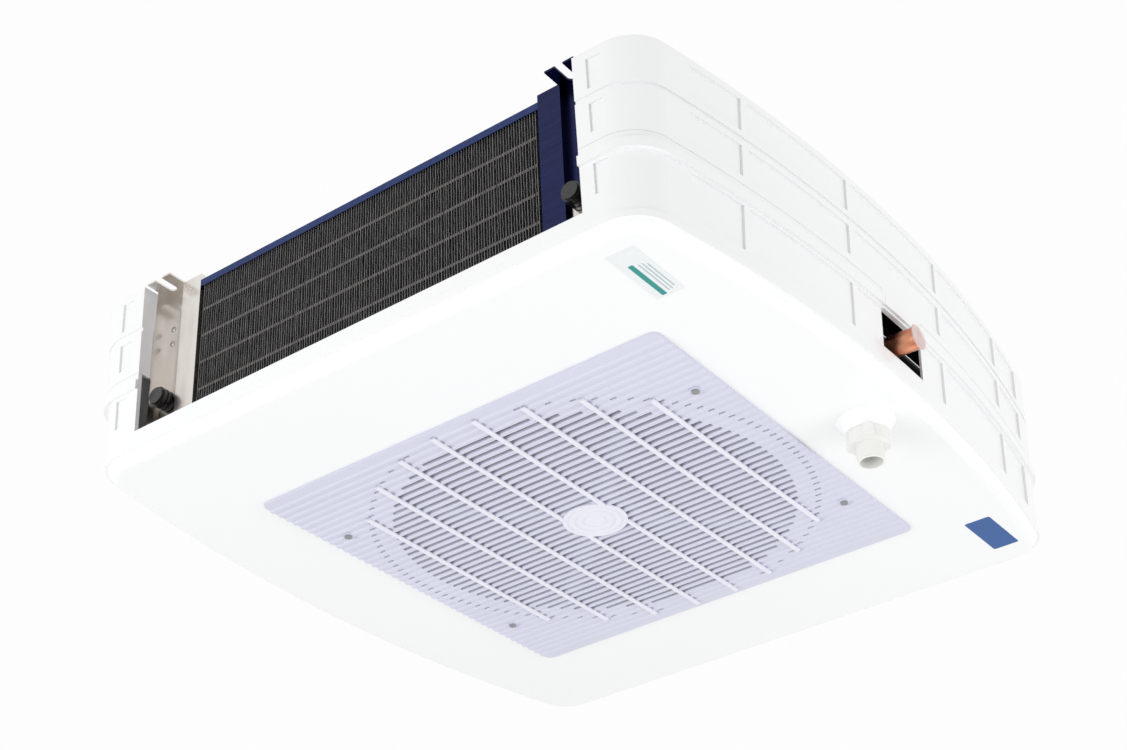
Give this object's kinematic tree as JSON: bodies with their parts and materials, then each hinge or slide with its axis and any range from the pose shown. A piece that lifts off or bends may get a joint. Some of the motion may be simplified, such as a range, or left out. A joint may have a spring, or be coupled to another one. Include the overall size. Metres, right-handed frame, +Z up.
{
  "type": "ceiling-hung unit cooler",
  "caption": "Flat ceiling-hung evaporator for a cold room: a fan behind a slotted floor grille blows out through finned coils on opposite sides of a bowed plastic casing.",
  "frame": {"origin": "centre of the ceiling plane, on the top faces of the slotted hanger tabs", "axes": "+X towards the end with the pipe port and the drain, +Y from one coil face to the other, +Z up"},
  "size_m": [0.7483, 0.7654, 0.243],
  "materials": {
    "white_casing": "gloss",
    "grille_plastic": "satin",
    "grille_white": "satin",
    "stainless": "brushed",
    "galvanised": "satin",
    "blue_sheet": "satin",
    "fins": "satin",
    "copper": "satin",
    "cap_plastic": "satin",
    "black_plastic": "gloss",
    "drain_plastic": "satin",
    "screw_steel": "polished",
    "motor_metal": "satin",
    "fan_plastic": "satin",
    "box_plastic": "satin"
  },
  "bodies": {
    "frame": {"cover_left": "white_casing", "cover_right": "white_casing", "top_plate": "galvanised", "front_coil_fins": "fins", "rear_coil_fins": "fins", "front_coil_sheets": "blue_sheet", "rear_coil_sheets": "blue_sheet", "front_coil_tubes": "copper", "rear_coil_tubes": "copper", "suction_pipe": "copper", "liquid_inlet": "copper", "terminal_box": "box_plastic", "end_plate_front_left": "stainless", "end_plate_front_right": "stainless", "end_plate_rear_left": "stainless", "end_plate_rear_right": "stainless"},
    "tray": {"tray_shell": "white_casing", "grille_panel": "grille_plastic", "grille_ribs": "grille_white", "grille_screws": "screw_steel", "fan_shroud": "grille_white", "motor_support": "galvanised", "motor_stator": "motor_metal", "drain_fitting": "drain_plastic", "clamp_tab_front_left": "stainless", "clamp_tab_front_right": "stainless", "clamp_tab_rear_left": "stainless", "clamp_tab_rear_right": "stainless"},
    "fan": {"impeller": "fan_plastic", "motor_rotor": "motor_metal", "fan_shaft": "screw_steel"},
    "cap": {"pipe_cap": "cap_plastic"},
    "knob_front_left": {"knob_front_left": "black_plastic"},
    "knob_front_right": {"knob_front_right": "black_plastic"},
    "knob_rear_left": {"knob_rear_left": "black_plastic"},
    "knob_rear_right": {"knob_rear_right": "black_plastic"}
  },
  "joints": [
    {"name": "tray_drop", "type": "slide", "parent": "frame", "child": "tray", "axis": [0, 0, -1], "range_m": [0, 0.12]},
    {"name": "fan_spin", "type": "hinge", "parent": "tray", "child": "fan", "pos_m": [0, 0, -0.16], "axis": [0, 0, 1], "continuous": true},
    {"name": "cap_pull", "type": "slide", "parent": "frame", "child": "cap", "axis": [1, 0, 0], "range_m": [0, 0.03]},
    {"name": "knob_turn_front_left", "type": "hinge", "parent": "frame", "child": "knob_front_left", "pos_m": [-0.246, -0.36, -0.134], "axis": [0, -1, 0], "continuous": true},
    {"name": "knob_turn_front_right", "type": "hinge", "parent": "frame", "child": "knob_front_right", "pos_m": [0.246, -0.36, -0.134], "axis": [0, -1, 0], "continuous": true},
    {"name": "knob_turn_rear_left", "type": "hinge", "parent": "frame", "child": "knob_rear_left", "pos_m": [-0.246, 0.36, -0.134], "axis": [0, 1, 0], "continuous": true},
    {"name": "knob_turn_rear_right", "type": "hinge", "parent": "frame", "child": "knob_rear_right", "pos_m": [0.246, 0.36, -0.134], "axis": [0, 1, 0], "continuous": true}
  ]
}
